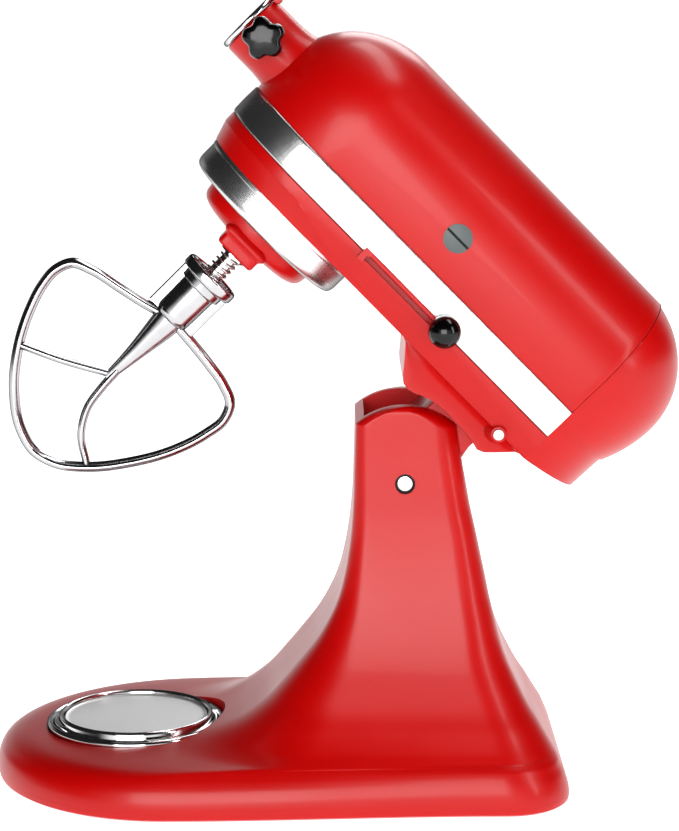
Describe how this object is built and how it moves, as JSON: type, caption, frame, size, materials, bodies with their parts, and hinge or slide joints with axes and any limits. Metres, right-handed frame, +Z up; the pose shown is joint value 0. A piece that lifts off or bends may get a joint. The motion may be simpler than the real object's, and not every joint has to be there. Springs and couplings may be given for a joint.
{
  "type": "stand mixer",
  "caption": "Tilt-head stand mixer in gloss red enamel with the head tipped back and a flat beater hanging from its planetary drive.",
  "frame": {"origin": "On the floor under the middle of the overall box: z is zero at the bottoms of the feet, x and y at the box centre.", "axes": "+Z is up, -X is the front where the bowl stands, +X is the rear where the hinge column stands, the speed control is on -Y."},
  "size_m": [0.4099, 0.214, 0.4684],
  "materials": {
    "red_enamel": "gloss",
    "black_rubber": "matte",
    "polished_steel": "polished",
    "satin_aluminium": "satin",
    "burnished_aluminium": "burnished",
    "black_gloss_plastic": "gloss",
    "grey_plastic": "satin",
    "zinc_steel": "satin",
    "gear_steel": "machined",
    "bronze": "machined",
    "copper": "satin",
    "carbon": "matte"
  },
  "bodies": {
    "base": {"pedestal": "red_enamel", "rubber_feet": "black_rubber", "bowl_clamp_plate": "polished_steel", "clamp_plate_disc": "satin_aluminium", "clamp_plate_screws": "zinc_steel", "hinge_pin": "polished_steel", "hinge_set_screw": "zinc_steel", "head_height_screw": "zinc_steel"},
    "head": {"lower_casing": "red_enamel", "motor_housing": "red_enamel", "rear_cover": "red_enamel", "rear_cover_screw": "zinc_steel", "trim_band": "polished_steel", "lever_guard": "red_enamel", "drip_ring": "polished_steel", "internal_ring_gear": "gear_steel", "casing_screws": "zinc_steel", "hub_sleeve": "polished_steel", "hub_cover_pin": "polished_steel", "brush_caps": "grey_plastic", "brush_holders": "grey_plastic", "carbon_brushes": "carbon", "brush_springs": "zinc_steel", "motor_stator": "gear_steel", "stator_windings": "copper", "rear_bearing_holder": "satin_aluminium", "rear_bearing": "zinc_steel", "gear_bracket": "satin_aluminium", "worm_nose_bearing": "bronze", "centre_shaft_bush": "bronze", "speed_control_plate": "satin_aluminium", "cord_gland": "black_rubber"},
    "hub_flap": {"hub_cover": "polished_steel"},
    "hub_screw": {"hub_knob": "black_gloss_plastic", "hub_knob_stud": "zinc_steel"},
    "head_lock": {"lock_shaft": "polished_steel", "lock_lever": "polished_steel", "lock_lever_knob": "black_gloss_plastic"},
    "speed_control": {"speed_lever": "polished_steel", "speed_knob": "black_gloss_plastic"},
    "planetary": {"planetary_carrier": "red_enamel", "centre_shaft": "gear_steel", "centre_bevel_gear": "gear_steel"},
    "agitator": {"agitator_pinion": "gear_steel", "agitator_shaft": "polished_steel", "drive_pin": "polished_steel", "beater_spring": "polished_steel", "spring_washer": "polished_steel"},
    "beater": {"flat_beater": "burnished_aluminium"},
    "wheel_shaft": {"worm_wheel": "bronze", "worm_wheel_pinion": "gear_steel"},
    "hub_drive": {"hub_drive_gear": "gear_steel"},
    "armature": {"armature_core": "gear_steel", "armature_shaft": "gear_steel", "commutator": "copper", "cooling_fan": "grey_plastic"}
  },
  "joints": [
    {"name": "head_tilt", "type": "hinge", "parent": "base", "child": "head", "pos_m": [0.042, 0, 0.1865], "axis": [0, 1, 0], "range_deg": [-45.4, 0]},
    {"name": "speed_slide", "type": "slide", "parent": "head", "child": "speed_control", "axis": [-0.7022, 0, 0.712], "range_m": [0, 0.054]},
    {"name": "lock_turn", "type": "hinge", "parent": "head", "child": "head_lock", "pos_m": [0.09491, 0, 0.21901], "axis": [0, 1, 0], "range_deg": [0, 60]},
    {"name": "hub_cover_flip", "type": "hinge", "parent": "head", "child": "hub_flap", "pos_m": [-0.03228, 0, 0.46577], "axis": [0, 1, 0], "range_deg": [0, 110]},
    {"name": "hub_screw_turn", "type": "hinge", "parent": "head", "child": "hub_screw", "pos_m": [-0.03944, -0.03, 0.44326], "axis": [0, 1, 0], "continuous": true},
    {"name": "planetary_spin", "type": "hinge", "parent": "head", "child": "planetary", "pos_m": [-0.04397, 0, 0.33065], "axis": [0.712, 0, 0.7022], "continuous": true},
    {"name": "agitator_spin", "type": "hinge", "parent": "planetary", "child": "agitator", "pos_m": [-0.045, -0.02796, 0.33169], "axis": [0.712, 0, 0.7022], "continuous": true},
    {"name": "beater_lift", "type": "slide", "parent": "agitator", "child": "beater", "axis": [0.712, 0, 0.7022], "range_m": [0, 0.004], "stiffness_N_per_m": 400, "springref_m": -0.001, "deforming": ["beater_spring"]},
    {"name": "worm_wheel_spin", "type": "hinge", "parent": "head", "child": "wheel_shaft", "pos_m": [0.03035, 0.03, 0.34073], "axis": [0.712, 0, 0.7022], "continuous": true},
    {"name": "hub_drive_spin", "type": "hinge", "parent": "head", "child": "hub_drive", "pos_m": [-0.01135, 0, 0.41478], "axis": [0.7022, 0, -0.712], "continuous": true},
    {"name": "armature_spin", "type": "hinge", "parent": "head", "child": "armature", "pos_m": [0.101, 0, 0.30085], "axis": [0.7022, 0, -0.712], "continuous": true}
  ],
  "couplings": [
    {"joint": "agitator_spin", "follows": "planetary_spin", "ratio": -2.625},
    {"joint": "worm_wheel_spin", "follows": "planetary_spin", "ratio": -2.6667},
    {"joint": "hub_drive_spin", "follows": "planetary_spin", "ratio": 1.8462},
    {"joint": "armature_spin", "follows": "planetary_spin", "ratio": 96}
  ]
}
